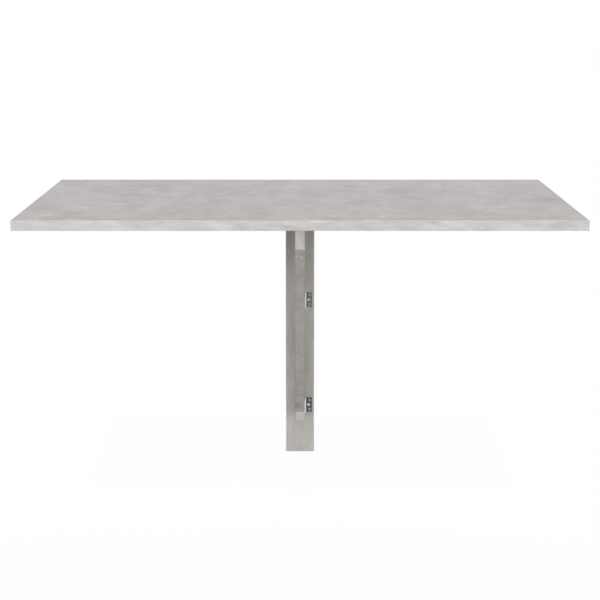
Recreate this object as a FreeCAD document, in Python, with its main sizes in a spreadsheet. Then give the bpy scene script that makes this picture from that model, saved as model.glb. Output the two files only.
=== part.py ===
import FreeCAD, Part
import os
import Sketcher
from types import SimpleNamespace

# Wall mounted drop leaf table. Row frame: +Z up, the wall is the plane y = 0, the room is on the -Y side.
# The origin is the middle of the wall rail's back face.
DIMENSIONS = {
    # boards and their edge bands
    "board_thickness": 18.0,
    "band_thickness": 1.0,
    "band_edge_break": 0.4,
    # table top: a strip fixed at the wall and the leaf that hangs on it
    "table_width": 1000.0,
    "table_depth": 600.0,
    "strip_depth": 60.0,
    "seam_gap": 2.0,
    # boards on the wall
    "rail_height": 80.0,
    "spine_width": 60.0,
    "spine_length": 488.0,
    # swinging support bracket
    "bracket_reach": 400.0,
    "bracket_height": 481.0,
    "nose_height": 62.4,
    "foot_depth": 60.0,
    "foot_height": 17.6,
    "bracket_clearance": 0.3,
    # butt hinges, one pattern for all five
    "hinge_height": 32.0,
    "hinge_leaf_width": 14.5,
    "hinge_sheet": 0.95,
    "hinge_corner": 1.2,
    "pin_radius": 1.0,
    "pin_clearance": 0.05,
    "pin_end_break": 0.3,
    "pin_stand": 0.8,
    "barrel_standoff": 0.3,
    "middle_knuckle_length": 20.0,
    "knuckle_gap": 0.25,
    "notch_clearance": 0.4,
    # where the hinges sit
    "swing_hinge_foot_margin": 1.5,
    "swing_hinge_spacing": 229.0,
    "leaf_hinge_end_inset": 45.0,
    "leaf_hinge_middle_offset": 50.0,
    # countersunk hinge screws
    "screw_outer_reach": 9.2,
    "screw_middle_reach": 7.0,
    "screw_spread": 10.0,
    "screw_head_radius": 2.7,
    "screw_shank_radius": 1.4,
    "screw_length": 12.0,
    "screw_tip_length": 3.0,
    "seat_clearance": 0.05,
    # holes for the wall screws
    "wall_hole_radius": 2.75,
    "wall_sink_radius": 5.0,
    "wall_hole_end_inset": 60.0,
    "wall_hole_inner_offset": 150.0,
    "spine_hole_top_inset": 100.0,
    "spine_hole_spacing": 260.0,
    # wooden dowels
    "dowel_radius": 4.0,
    "dowel_length": 30.0,
    "dowel_end_break": 1.0,
    "dowel_strip_depth": 10.0,
    "dowel_end_inset": 30.0,
    "dowel_inner_offset": 200.0,
    "spine_dowel_offset": 18.0,
    # cam fittings that pull the strip down on the rail
    "cam_radius": 7.3,
    "cam_depth": 12.2,
    "cam_setback": 24.0,
    "cam_end_inset": 95.0,
    "cam_inner_offset": 85.0,
    "cam_recess_length": 7.0,
    "cam_recess_width": 1.4,
    "cam_recess_depth": 2.2,
    "bolt_thread_radius": 2.5,
    "bolt_thread_length": 11.0,
    "bolt_neck_radius": 2.0,
    "bolt_head_radius": 3.3,
    "bolt_hole_radius": 4.0,
    # how far every cut runs past the surface that it opens
    "cut_overrun": 1.0,
}

doc = FreeCAD.newDocument("WallDropLeafTable")
sheet = doc.addObject("Spreadsheet::Sheet", "Sizes")
for row, (alias, size) in enumerate(DIMENSIONS.items(), start=1):
    sheet.set(f"A{row}", alias.replace("_", " "))
    sheet.set(f"B{row}", str(size))
    sheet.setAlias(f"B{row}", alias)
doc.recompute()

s = SimpleNamespace(**{alias: f"Sizes.{alias}" for alias in DIMENSIONS})
X = FreeCAD.Vector(1, 0, 0)
Y = FreeCAD.Vector(0, 1, 0)
Z = FreeCAD.Vector(0, 0, 1)
nodes = []


def turned_axes(x_to, y_to):
    """The rotation that lays a piece's own X and Y along these directions."""
    return FreeCAD.Rotation(x_to, y_to, x_to.cross(y_to), "XYZ")


def put(piece, place, rotation=None):
    """Give a piece its placement, with the base point bound to the sheet."""
    piece.Placement = FreeCAD.Placement(FreeCAD.Vector(), rotation or FreeCAD.Rotation())
    for axis, expression in zip("xyz", place):
        piece.setExpression(f"Placement.Base.{axis}", expression)
    return piece


def finished(piece, label):
    """Name a sub-part and keep it for export."""
    piece.Label = label
    nodes.append(piece)
    return piece


def new_sketch(body, name, role, offset="0"):
    """A sketch on one of the body's own planes, moved along that plane's normal."""
    sketch = body.newObject("Sketcher::SketchObject", name)
    plane = next(feature for feature in body.Origin.OriginFeatures if feature.Role == role)
    sketch.AttachmentSupport = [(plane, "")]
    sketch.MapMode = "FlatFace"
    sketch.setExpression("AttachmentOffset.Base.z", offset)
    return sketch


def draw_outline(sketch, corners):
    """Closed straight-sided outline, each corner bound to the sheet by its two distances from the origin."""
    points = [FreeCAD.Vector(sketch.evalExpression(x), sketch.evalExpression(y)) for x, y in corners]
    first = sketch.GeometryCount
    count = len(points)
    for index, point in enumerate(points):
        sketch.addGeometry(Part.LineSegment(point, points[(index + 1) % count]))
    for index, (corner, point) in enumerate(zip(corners, points)):
        line = first + index
        following = first + (index + 1) % count
        sketch.addConstraint(Sketcher.Constraint("Coincident", line, 2, following, 1))
        for kind, expression, value in zip(("DistanceX", "DistanceY"), corner, (point.x, point.y)):
            number = sketch.addConstraint(Sketcher.Constraint(kind, -1, 1, line, 1, value))
            sketch.renameConstraint(number, f"{kind}{line}")
            sketch.setExpression(f"Constraints.{kind}{line}", expression)


def draw_circle(sketch, radius):
    """A circle about the sketch origin with its radius bound to the sheet."""
    circle = Part.Circle(FreeCAD.Vector(), Z, sketch.evalExpression(radius))
    index = sketch.addGeometry(circle)
    sketch.addConstraint(Sketcher.Constraint("Coincident", index, 3, -1, 1))
    number = sketch.addConstraint(Sketcher.Constraint("Radius", index, circle.Radius))
    sketch.renameConstraint(number, f"Radius{index}")
    sketch.setExpression(f"Constraints.Radius{index}", radius)


def pad(body, sketch, name, length):
    """Pad a sketch evenly to both sides of its plane."""
    feature = body.newObject("PartDesign::Pad", name)
    feature.Profile = sketch
    feature.SideType = "Symmetric"
    feature.setExpression("Length", length)
    return feature


def padded_piece(name, role, outlines, length):
    """A body cut to an outline from sheet stock. Further outlines are openings in it."""
    body = doc.addObject("PartDesign::Body", name)
    sketch = new_sketch(body, f"{name}_outline", role)
    for corners in outlines:
        draw_outline(sketch, corners)
    pad(body, sketch, f"{name}_pad", length)
    return body


def turned_piece(name, corners):
    """A body turned about its own Z axis from corners given as radius and height."""
    body = doc.addObject("PartDesign::Body", name)
    sketch = new_sketch(body, f"{name}_outline", "XZ_Plane")
    draw_outline(sketch, corners)
    turn = body.newObject("PartDesign::Revolution", f"{name}_turn")
    turn.Profile = sketch
    turn.ReferenceAxis = (sketch, ["V_Axis"])
    return body


def link_to(piece, name, place, rotation=None):
    """A linked copy of a piece, moved from where the piece itself stands."""
    link = doc.addObject("App::Link", name)
    link.LinkedObject = piece
    link.LinkTransform = True
    return put(link, place, rotation)


def copies_of(piece, name, stations):
    """One group of equal pieces, a linked copy at each station."""
    group = doc.addObject("Part::Compound", name)
    group.Links = [link_to(piece, f"{name}_{n}", *station) for n, station in enumerate(stations)]
    return group


def cut_by(name, base, tools):
    """A piece with these tools cut out of it."""
    together = doc.addObject("Part::Compound", f"{name}_tools")
    together.Links = tools
    cut = doc.addObject("Part::Cut", name)
    cut.Base = base
    cut.Tool = together
    return cut


# Levels and lines that several pieces share
half_width = f"{s.table_width} / 2"
half_board = f"{s.board_thickness} / 2"
underside = f"{s.rail_height} / 2"
rail_bottom = f"-{s.rail_height} / 2"
spine_bottom = f"{rail_bottom} - {s.spine_length}"
top_middle = f"{underside} + {half_board}"
wall_board_middle = f"-{half_board}"
leaf_rear = f"-{s.strip_depth} - {s.seam_gap}"
bracket_rear = f"-{s.board_thickness} - {s.bracket_clearance}"
bracket_top = f"{underside} - {s.bracket_clearance}"
bracket_bottom = f"{bracket_top} - {s.bracket_height}"

# Hinge pins: a barrel stands just clear of the faces that its two leaves are screwed to.
barrel_radius = f"({s.pin_radius} + {s.pin_clearance} + {s.hinge_sheet})"
barrel_offset = f"({barrel_radius} + {s.barrel_standoff})"
swing_axis_x = f"{half_board} + {barrel_offset}"
swing_axis_y = f"-{s.board_thickness} - {barrel_offset}"
lower_hinge_z = f"{bracket_bottom} + {s.swing_hinge_foot_margin} + {s.hinge_height} / 2"
upper_hinge_z = f"{lower_hinge_z} + {s.swing_hinge_spacing}"
seam_axis_y = f"-{s.strip_depth} - {s.seam_gap} / 2"
seam_axis_z = f"{underside} - {barrel_offset}"
end_hinge_x = f"{half_width} - {s.leaf_hinge_end_inset}"

SWING_HINGES = {
    "upper": (swing_axis_x, swing_axis_y, upper_hinge_z),
    "lower": (swing_axis_x, swing_axis_y, lower_hinge_z),
}
LEAF_HINGES = {
    "left": (f"-({end_hinge_x})", seam_axis_y, seam_axis_z),
    "middle": (f"-{s.leaf_hinge_middle_offset}", seam_axis_y, seam_axis_z),
    "right": (end_hinge_x, seam_axis_y, seam_axis_z),
}
# A hinge leaf lies along its own X from the pin on Z, with its mounting face towards its own -Y.
ON_SPINE = turned_axes(X, -Y)
ON_BRACKET = turned_axes(-Y, X)
UNDER_STRIP = turned_axes(Y, -Z)
UNDER_LEAF = turned_axes(-Y, -Z)

# Hinge screw: countersunk head flush with the leaf, driven along its own -Z
head_depth = f"({s.screw_head_radius} - {s.screw_shank_radius})"
screw = turned_piece(
    "screw",
    [
        ("0", "0"),
        (s.screw_head_radius, "0"),
        (s.screw_shank_radius, f"-{head_depth}"),
        (s.screw_shank_radius, f"{s.screw_tip_length} - {s.screw_length}"),
        ("0", f"-{s.screw_length}"),
    ],
)
# Drill for that screw, through the hinge leaf and into the board
hole_radius = f"{s.screw_shank_radius} + {s.seat_clearance}"
sink_radius = f"{s.screw_head_radius} + {s.seat_clearance}"
screw_drill = turned_piece(
    "screw_drill",
    [
        ("0", s.cut_overrun),
        (sink_radius, s.cut_overrun),
        (sink_radius, "0"),
        (hole_radius, f"-{head_depth}"),
        (hole_radius, f"{s.screw_tip_length} - {s.screw_length}"),
        ("0", f"-{s.screw_length} - {s.seat_clearance}"),
    ],
)
leaf_face = f"{s.hinge_sheet} - {barrel_offset}"
INTO_LEAF = turned_axes(X, -Z)
SCREW_PLACES = [
    ((s.screw_outer_reach, leaf_face, f"-{s.screw_spread}"), INTO_LEAF),
    ((s.screw_middle_reach, leaf_face, "0"), INTO_LEAF),
    ((s.screw_outer_reach, leaf_face, s.screw_spread), INTO_LEAF),
]
screw_trio = copies_of(screw, "screw_trio", SCREW_PLACES)
drill_trio = copies_of(screw_drill, "drill_trio", SCREW_PLACES)


def hinge_places(hinges, rotation):
    return [(place, rotation) for place in hinges.values()]


# Hinge leaf: a stamped plate with its edge rolled into knuckles round the pin
half_hinge = f"{s.hinge_height} / 2"
half_middle = f"{s.middle_knuckle_length} / 2"
end_start = f"({half_middle} + {s.knuckle_gap})"
end_length = f"({half_hinge} - {end_start})"
notch_reach = f"{barrel_radius} + {s.notch_clearance}"
plate_end = s.hinge_leaf_width
plate_end_cut = f"{s.hinge_leaf_width} - {s.hinge_corner}"
plate_side_cut = f"{half_hinge} - {s.hinge_corner}"
PLATE_FAR_SIDE = [
    (plate_end_cut, f"-{half_hinge}"),
    (plate_end, f"-({plate_side_cut})"),
    (plate_end, plate_side_cut),
    (plate_end_cut, half_hinge),
]
END_KNUCKLES = SimpleNamespace(
    plate=PLATE_FAR_SIDE
    + [
        ("0", half_hinge),
        ("0", end_start),
        (notch_reach, end_start),
        (notch_reach, f"-{end_start}"),
        ("0", f"-{end_start}"),
        ("0", f"-{half_hinge}"),
    ],
    centres=[f"{end_start} + {end_length} / 2", f"-{end_start} - {end_length} / 2"],
    length=end_length,
)
MIDDLE_KNUCKLE = SimpleNamespace(
    plate=PLATE_FAR_SIDE
    + [
        (notch_reach, half_hinge),
        (notch_reach, half_middle),
        ("0", half_middle),
        ("0", f"-{half_middle}"),
        (notch_reach, f"-{half_middle}"),
        (notch_reach, f"-{half_hinge}"),
    ],
    centres=["0"],
    length=s.middle_knuckle_length,
)


def hinge_leaf(label, knuckles, place, rotation):
    body = doc.addObject("PartDesign::Body", f"{label}_body")
    plate = new_sketch(body, f"{label}_plate", "XZ_Plane", f"{barrel_offset} - {s.hinge_sheet} / 2")
    draw_outline(plate, knuckles.plate)
    pad(body, plate, f"{label}_plate_pad", s.hinge_sheet)
    for number, centre in enumerate(knuckles.centres):
        ring = new_sketch(body, f"{label}_ring_{number}", "XY_Plane", centre)
        draw_circle(ring, barrel_radius)
        pad(body, ring, f"{label}_ring_pad_{number}", knuckles.length)
    put(body, place, rotation)
    pin_bore = doc.addObject("Part::Cylinder", f"{label}_pin_bore")
    pin_bore.setExpression("Radius", f"{s.pin_radius} + {s.pin_clearance}")
    pin_bore.setExpression("Height", f"{s.hinge_height} + 2 * {s.cut_overrun}")
    bore_start = ("0", "0", f"-{half_hinge} - {s.cut_overrun}")
    bored = copies_of(put(pin_bore, bore_start), f"{label}_bore", [(place, rotation)])
    drills = link_to(drill_trio, f"{label}_drills", place, rotation)
    return finished(cut_by(f"{label}_cut", body, [bored, drills]), label)


# Hinge pin: plain wire that stands a little out of the knuckles, its ends broken
pin_half = f"({half_hinge} + {s.pin_stand})"
pin_stem = f"{pin_half} - {s.pin_end_break}"
pin_end_radius = f"{s.pin_radius} - {s.pin_end_break}"


def hinge_pin(label, place, rotation):
    pin = turned_piece(
        f"{label}_body",
        [
            ("0", f"-{pin_half}"),
            (pin_end_radius, f"-{pin_half}"),
            (s.pin_radius, f"-({pin_stem})"),
            (s.pin_radius, pin_stem),
            (pin_end_radius, pin_half),
            ("0", pin_half),
        ],
    )
    return finished(put(pin, place, rotation), label)


for side, place in SWING_HINGES.items():
    hinge_leaf(f"{side}_hinge_spine_leaf", END_KNUCKLES, place, ON_SPINE)
    hinge_leaf(f"{side}_hinge_bracket_leaf", MIDDLE_KNUCKLE, place, ON_BRACKET)
    hinge_pin(f"{side}_hinge_pin", place, ON_SPINE)
for side, place in LEAF_HINGES.items():
    hinge_leaf(f"{side}_seam_hinge_strip_leaf", END_KNUCKLES, place, UNDER_STRIP)
    hinge_leaf(f"{side}_seam_hinge_moving_leaf", MIDDLE_KNUCKLE, place, UNDER_LEAF)
    hinge_pin(f"{side}_seam_hinge_pin", place, UNDER_STRIP)

HINGE_SCREWS = {
    "spine_hinge_screws": hinge_places(SWING_HINGES, ON_SPINE),
    "bracket_hinge_screws": hinge_places(SWING_HINGES, ON_BRACKET),
    "strip_hinge_screws": hinge_places(LEAF_HINGES, UNDER_STRIP),
    "leaf_hinge_screws": hinge_places(LEAF_HINGES, UNDER_LEAF),
}
for label, stations in HINGE_SCREWS.items():
    finished(copies_of(screw_trio, f"{label}_group", stations), label)

# Wooden dowels, on their own Z from the middle of their length
dowel_stem = f"{s.dowel_length} / 2 - {s.dowel_end_break}"
dowel_end_radius = f"{s.dowel_radius} - {s.dowel_end_break}"
dowel = turned_piece(
    "dowel",
    [
        ("0", f"-{s.dowel_length} / 2"),
        (dowel_end_radius, f"-{s.dowel_length} / 2"),
        (s.dowel_radius, f"-({dowel_stem})"),
        (s.dowel_radius, dowel_stem),
        (dowel_end_radius, f"{s.dowel_length} / 2"),
        ("0", f"{s.dowel_length} / 2"),
    ],
)
dowel_hole_radius = f"{s.dowel_radius} + {s.seat_clearance}"
dowel_hole_half = f"{s.dowel_length} / 2 + {s.seat_clearance}"
dowel_drill = turned_piece(
    "dowel_drill",
    [
        ("0", f"-({dowel_hole_half})"),
        (dowel_hole_radius, f"-({dowel_hole_half})"),
        (dowel_hole_radius, dowel_hole_half),
        ("0", dowel_hole_half),
    ],
)
strip_dowel_z = f"{underside} + {s.dowel_strip_depth} - {s.dowel_length} / 2"
STRIP_DOWELS = [
    ((x, wall_board_middle, strip_dowel_z),)
    for x in (
        f"{s.dowel_end_inset} - {half_width}",
        f"-{s.dowel_inner_offset}",
        s.dowel_inner_offset,
        f"{half_width} - {s.dowel_end_inset}",
    )
]
SPINE_DOWELS = [
    ((x, wall_board_middle, rail_bottom),) for x in (f"-{s.spine_dowel_offset}", s.spine_dowel_offset)
]
finished(copies_of(dowel, "strip_dowel_group", STRIP_DOWELS), "strip_dowels")
finished(copies_of(dowel, "spine_dowel_group", SPINE_DOWELS), "spine_dowels")

# Cam bolt: threaded up into the strip, its head hanging in the cam at the setback
head_top = f"{s.bolt_head_radius} - {s.cam_setback}"
head_bottom = f"-{s.bolt_head_radius} - {s.cam_setback}"
cam_bolt = turned_piece(
    "cam_bolt",
    [
        ("0", s.bolt_thread_length),
        (s.bolt_thread_radius, s.bolt_thread_length),
        (s.bolt_thread_radius, "0"),
        (s.bolt_neck_radius, "0"),
        (s.bolt_neck_radius, head_top),
        (s.bolt_head_radius, head_top),
        (s.bolt_head_radius, head_bottom),
        ("0", head_bottom),
    ],
)
thread_hole_radius = f"{s.bolt_thread_radius} + {s.seat_clearance}"
thread_hole_end = f"{s.bolt_thread_length} + {s.seat_clearance}"
bolt_drill = turned_piece(
    "bolt_drill",
    [
        ("0", thread_hole_end),
        (thread_hole_radius, thread_hole_end),
        (thread_hole_radius, "0"),
        (s.bolt_hole_radius, "0"),
        (s.bolt_hole_radius, f"-{s.cam_setback}"),
        ("0", f"-{s.cam_setback}"),
    ],
)
CAM_X = [
    f"{s.cam_end_inset} - {half_width}",
    f"-{s.cam_inner_offset}",
    s.cam_inner_offset,
    f"{half_width} - {s.cam_end_inset}",
]
CAM_BOLTS = [((x, wall_board_middle, underside),) for x in CAM_X]
finished(copies_of(cam_bolt, "cam_bolt_group", CAM_BOLTS), "cam_bolts")


def box(name, lengths, place):
    """A box with its lengths and lowest corner bound to the sheet."""
    block = doc.addObject("Part::Box", name)
    for side, expression in zip(("Length", "Width", "Height"), lengths):
        block.setExpression(side, expression)
    return put(block, place)


# Cam disc: front face at its own z = 0, a slot at the back that the bolt's head enters from above
cam_disc = doc.addObject("Part::Cylinder", "cam_disc")
cam_disc.setExpression("Radius", s.cam_radius)
cam_disc.setExpression("Height", s.cam_depth)
put(cam_disc, ("0", "0", f"-{s.cam_depth}"))
slot_half = f"({s.bolt_head_radius} + {s.seat_clearance})"
slot_rise = f"{slot_half} + {s.cam_radius} + {s.cut_overrun}"
slot_depth = f"({s.cam_depth} + {s.cut_overrun})"
slot_front = f"{slot_half} - {half_board}"
cam_slot = box(
    "cam_slot",
    (f"2 * {slot_half}", slot_rise, slot_depth),
    (f"-{slot_half}", f"-{slot_half}", f"{slot_front} - {slot_depth}"),
)
recess_height = f"{s.cam_recess_depth} + {s.cut_overrun}"
half_recess = f"{s.cam_recess_length} / 2"
half_blade = f"{s.cam_recess_width} / 2"
recess_across = box(
    "cam_recess_across",
    (s.cam_recess_length, s.cam_recess_width, recess_height),
    (f"-{half_recess}", f"-{half_blade}", f"-{s.cam_recess_depth}"),
)
recess_upright = box(
    "cam_recess_upright",
    (s.cam_recess_width, s.cam_recess_length, recess_height),
    (f"-{half_blade}", f"-{half_recess}", f"-{s.cam_recess_depth}"),
)
cam = cut_by("cam", cam_disc, [cam_slot, recess_across, recess_upright])
cam_drill = doc.addObject("Part::Cylinder", "cam_drill")
cam_drill.setExpression("Radius", f"{s.cam_radius} + {s.seat_clearance}")
cam_drill.setExpression("Height", f"{s.cam_depth} + {s.seat_clearance} + {s.cut_overrun}")
put(cam_drill, ("0", "0", f"-{s.cam_depth} - {s.seat_clearance}"))
FACING_ROOM = turned_axes(X, Z)
CAMS = [((x, f"-{s.board_thickness}", f"{underside} - {s.cam_setback}"), FACING_ROOM) for x in CAM_X]
finished(copies_of(cam, "cam_group", CAMS), "cam_locks")

# Holes for the wall screws, countersunk from the room side
wall_drill = turned_piece(
    "wall_drill",
    [
        ("0", s.cut_overrun),
        (s.wall_sink_radius, s.cut_overrun),
        (s.wall_sink_radius, "0"),
        (s.wall_hole_radius, f"{s.wall_hole_radius} - {s.wall_sink_radius}"),
        (s.wall_hole_radius, f"-{s.board_thickness} - {s.cut_overrun}"),
        ("0", f"-{s.board_thickness} - {s.cut_overrun}"),
    ],
)
room_face = f"-{s.board_thickness}"
outer_hole_x = f"{half_width} - {s.wall_hole_end_inset}"
upper_hole_z = f"{rail_bottom} - {s.spine_hole_top_inset}"
RAIL_HOLES = [
    ((x, room_face, "0"), FACING_ROOM)
    for x in (f"-({outer_hole_x})", f"-{s.wall_hole_inner_offset}", s.wall_hole_inner_offset, outer_hole_x)
]
SPINE_HOLES = [
    (("0", room_face, z), FACING_ROOM) for z in (upper_hole_z, f"{upper_hole_z} - {s.spine_hole_spacing}")
]

# Boards, cut smaller than the finished size by the bands on their edges
core_half_width = f"{half_width} - {s.band_thickness}"
strip_core_front = f"{s.band_thickness} - {s.strip_depth}"
strip_board = padded_piece(
    "strip_board",
    "XY_Plane",
    [
        [
            (f"-({core_half_width})", "0"),
            (core_half_width, "0"),
            (core_half_width, strip_core_front),
            (f"-({core_half_width})", strip_core_front),
        ]
    ],
    s.board_thickness,
)
put(strip_board, ("0", "0", top_middle))
strip_tools = [
    copies_of(dowel_drill, "strip_dowel_holes", STRIP_DOWELS),
    copies_of(bolt_drill, "strip_bolt_holes", CAM_BOLTS),
    copies_of(drill_trio, "strip_screw_holes", HINGE_SCREWS["strip_hinge_screws"]),
]
finished(cut_by("strip", strip_board, strip_tools), "top_strip")

rail_core_bottom = f"{rail_bottom} + {s.band_thickness}"
rail_board = padded_piece(
    "rail_board",
    "XZ_Plane",
    [
        [
            (f"-({core_half_width})", rail_core_bottom),
            (core_half_width, rail_core_bottom),
            (core_half_width, underside),
            (f"-({core_half_width})", underside),
        ]
    ],
    s.board_thickness,
)
put(rail_board, ("0", wall_board_middle, "0"))
rail_tools = [
    copies_of(dowel_drill, "rail_dowel_holes", STRIP_DOWELS + SPINE_DOWELS),
    copies_of(bolt_drill, "rail_bolt_holes", CAM_BOLTS),
    copies_of(cam_drill, "rail_cam_holes", CAMS),
    copies_of(wall_drill, "rail_wall_holes", RAIL_HOLES),
]
finished(cut_by("rail", rail_board, rail_tools), "wall_rail")

spine_core_half = f"{s.spine_width} / 2 - {s.band_thickness}"
spine_core_bottom = f"{spine_bottom} + {s.band_thickness}"
spine_board = padded_piece(
    "spine_board",
    "XZ_Plane",
    [
        [
            (f"-({spine_core_half})", spine_core_bottom),
            (spine_core_half, spine_core_bottom),
            (spine_core_half, rail_bottom),
            (f"-({spine_core_half})", rail_bottom),
        ]
    ],
    s.board_thickness,
)
put(spine_board, ("0", wall_board_middle, "0"))
spine_tools = [
    copies_of(dowel_drill, "spine_dowel_holes", SPINE_DOWELS),
    copies_of(wall_drill, "spine_wall_holes", SPINE_HOLES),
    copies_of(drill_trio, "spine_screw_holes", HINGE_SCREWS["spine_hinge_screws"]),
]
finished(cut_by("spine_cut", spine_board, spine_tools), "spine")

leaf_core_rear = f"{leaf_rear} - {s.band_thickness}"
leaf_core_front = f"{s.band_thickness} - {s.table_depth}"
leaf_board = padded_piece(
    "leaf_board",
    "XY_Plane",
    [
        [
            (f"-({core_half_width})", leaf_core_rear),
            (core_half_width, leaf_core_rear),
            (core_half_width, leaf_core_front),
            (f"-({core_half_width})", leaf_core_front),
        ]
    ],
    s.board_thickness,
)
put(leaf_board, ("0", "0", top_middle))
leaf_tools = [copies_of(drill_trio, "leaf_screw_holes", HINGE_SCREWS["leaf_hinge_screws"])]
finished(cut_by("leaf", leaf_board, leaf_tools), "drop_leaf")

# Support bracket: a deep nose under the leaf, one straight slope and a short upright foot
slope = f"(({s.bracket_height} - {s.foot_height} - {s.nose_height}) / ({s.bracket_reach} - {s.foot_depth}))"


def bracket_outline(inset):
    """The bracket's side view in y and z, drawn in by an inset all round."""
    slope_lift = f"{inset} * (sqrt(1 + {slope} ^ 2) - {slope})"
    rear = f"{bracket_rear} - {inset}"
    nose = f"{bracket_rear} - {s.bracket_reach} + {inset}"
    foot = f"{bracket_rear} - {s.foot_depth} + {inset}"
    top = f"{bracket_top} - {inset}"
    bottom = f"{bracket_bottom} + {inset}"
    return [
        (rear, top),
        (nose, top),
        (nose, f"{bracket_top} - {s.nose_height} + {slope_lift}"),
        (foot, f"{bracket_bottom} + {s.foot_height} + {slope_lift}"),
        (foot, bottom),
        (rear, bottom),
    ]


bracket_board = padded_piece(
    "bracket_board", "YZ_Plane", [bracket_outline(s.band_thickness)], s.board_thickness
)
bracket_tools = [copies_of(drill_trio, "bracket_screw_holes", HINGE_SCREWS["bracket_hinge_screws"])]
finished(cut_by("bracket", bracket_board, bracket_tools), "support_bracket")

# The bracket's band is one strip wrapped round every edge, its outer corners broken.
bracket_band = padded_piece(
    "bracket_band", "YZ_Plane", [bracket_outline("0"), bracket_outline(s.band_thickness)], s.board_thickness
)
doc.recompute()
band_pad = bracket_band.Tip
outer_edges = [edge for face in band_pad.Shape.Faces if len(face.Wires) > 1 for edge in face.OuterWire.Edges]
edge_names = [
    f"Edge{number}"
    for number, edge in enumerate(band_pad.Shape.Edges, start=1)
    if any(edge.isSame(outer) for outer in outer_edges)
]
band_break = bracket_band.newObject("PartDesign::Chamfer", "bracket_band_break")
band_break.Base = (band_pad, edge_names)
band_break.setExpression("Size", s.band_edge_break)
finished(bracket_band, "bracket_edge_band")

# Straight edge bands: one extruded section, its two outer corners broken
half_section = f"{half_board} - {s.band_edge_break}"
section_side = f"{s.band_thickness} - {s.band_edge_break}"
BAND_SECTION = [
    (f"-{half_board}", "0"),
    (half_board, "0"),
    (half_board, section_side),
    (half_section, s.band_thickness),
    (f"-({half_section})", s.band_thickness),
    (f"-{half_board}", section_side),
]


def edge_band(name, length, across, outward, place):
    """A band on one board edge, set by the middle of its glued face and the board's thickness direction."""
    band = padded_piece(name, "XY_Plane", [BAND_SECTION], length)
    return put(band, place, turned_axes(across, outward))


strip_core_depth = f"{s.strip_depth} - {s.band_thickness}"
leaf_core_depth = f"({leaf_core_rear} - ({leaf_core_front}))"
rail_core_height = f"{s.rail_height} - {s.band_thickness}"
spine_core_length = f"{s.spine_length} - {s.band_thickness}"
strip_middle = f"-({strip_core_depth}) / 2"
leaf_middle = f"({leaf_core_rear} + {leaf_core_front}) / 2"
rail_middle = f"{s.band_thickness} / 2"
spine_middle = f"({spine_core_bottom} + {rail_bottom}) / 2"
BANDS = {
    "strip_front_band": (s.table_width, Z, -Y, ("0", strip_core_front, top_middle)),
    "leaf_front_band": (s.table_width, Z, -Y, ("0", leaf_core_front, top_middle)),
    "leaf_rear_band": (s.table_width, Z, Y, ("0", leaf_core_rear, top_middle)),
    "spine_bottom_band": (s.spine_width, Y, -Z, ("0", wall_board_middle, spine_core_bottom)),
}
for side, sign, outward in (("left", "-", -X), ("right", "", X)):
    board_x = f"{sign}({core_half_width})"
    spine_x = f"{sign}({spine_core_half})"
    BANDS[f"strip_{side}_band"] = (strip_core_depth, Z, outward, (board_x, strip_middle, top_middle))
    BANDS[f"leaf_{side}_band"] = (leaf_core_depth, Z, outward, (board_x, leaf_middle, top_middle))
    BANDS[f"rail_{side}_band"] = (rail_core_height, Y, outward, (board_x, wall_board_middle, rail_middle))
    BANDS[f"spine_{side}_band"] = (spine_core_length, Y, outward, (spine_x, wall_board_middle, spine_middle))
for label, band in BANDS.items():
    finished(edge_band(f"{label}_body", *band), label)
# The spine's dowels pass through the band under the rail.
rail_band = edge_band("rail_band", s.table_width, Y, -Z, ("0", wall_board_middle, rail_core_bottom))
rail_band_holes = copies_of(dowel_drill, "rail_band_holes", SPINE_DOWELS)
finished(cut_by("rail_band_cut", rail_band, [rail_band_holes]), "rail_bottom_band")

doc.recompute()
for thing in doc.Objects:
    if {"Invalid", "Error"} & set(thing.State):
        raise RuntimeError(f"{thing.Label}: {thing.State}")
for piece in nodes:
    if piece.Shape.isNull() or not piece.Shape.isValid():
        raise RuntimeError(f"{piece.Label}: no valid shape")

os.makedirs("parts", exist_ok=True)
for piece in nodes:
    piece.Shape.exportStep(f"parts/{piece.Label}.step")
print(len(nodes), "nodes", sum(len(piece.Shape.Solids) for piece in nodes), "solids")
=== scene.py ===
import math

import bpy
from mathutils import Matrix, Vector


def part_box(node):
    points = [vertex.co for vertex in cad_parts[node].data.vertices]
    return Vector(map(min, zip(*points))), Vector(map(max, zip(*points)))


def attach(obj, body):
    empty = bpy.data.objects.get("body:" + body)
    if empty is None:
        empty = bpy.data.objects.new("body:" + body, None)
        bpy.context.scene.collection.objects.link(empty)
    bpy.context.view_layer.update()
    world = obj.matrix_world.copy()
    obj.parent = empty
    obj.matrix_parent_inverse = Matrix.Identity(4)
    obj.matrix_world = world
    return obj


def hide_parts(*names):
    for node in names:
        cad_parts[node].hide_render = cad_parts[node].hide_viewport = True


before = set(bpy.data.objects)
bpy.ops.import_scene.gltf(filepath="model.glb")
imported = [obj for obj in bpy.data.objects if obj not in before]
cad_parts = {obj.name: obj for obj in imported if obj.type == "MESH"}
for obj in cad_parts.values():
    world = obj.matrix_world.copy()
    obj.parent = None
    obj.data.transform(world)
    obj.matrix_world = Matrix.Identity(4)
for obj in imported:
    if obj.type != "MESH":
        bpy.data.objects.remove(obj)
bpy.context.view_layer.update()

# The wall rail is a strip of 18 mm chipboard, faced on both sides with concrete print melamine.
# It is screwed flat to the wall through four countersunk holes, and everything else hangs on it.
# Its bottom and its ends are closed with 1 mm edge band; the top edge under the strip stays raw.
CONCRETE = (0.502, 0.473, 0.472, 1.0)
ROSY_TINT = (1.0, 0.990, 0.988, 1.0)
GREENISH_TINT = (0.992, 1.0, 0.988, 1.0)


def feed(tree, socket, value):
    """Link a socket to another node's output, or set it to a constant."""
    if isinstance(value, bpy.types.NodeSocket):
        tree.links.new(value, socket)
    else:
        socket.default_value = value


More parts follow.
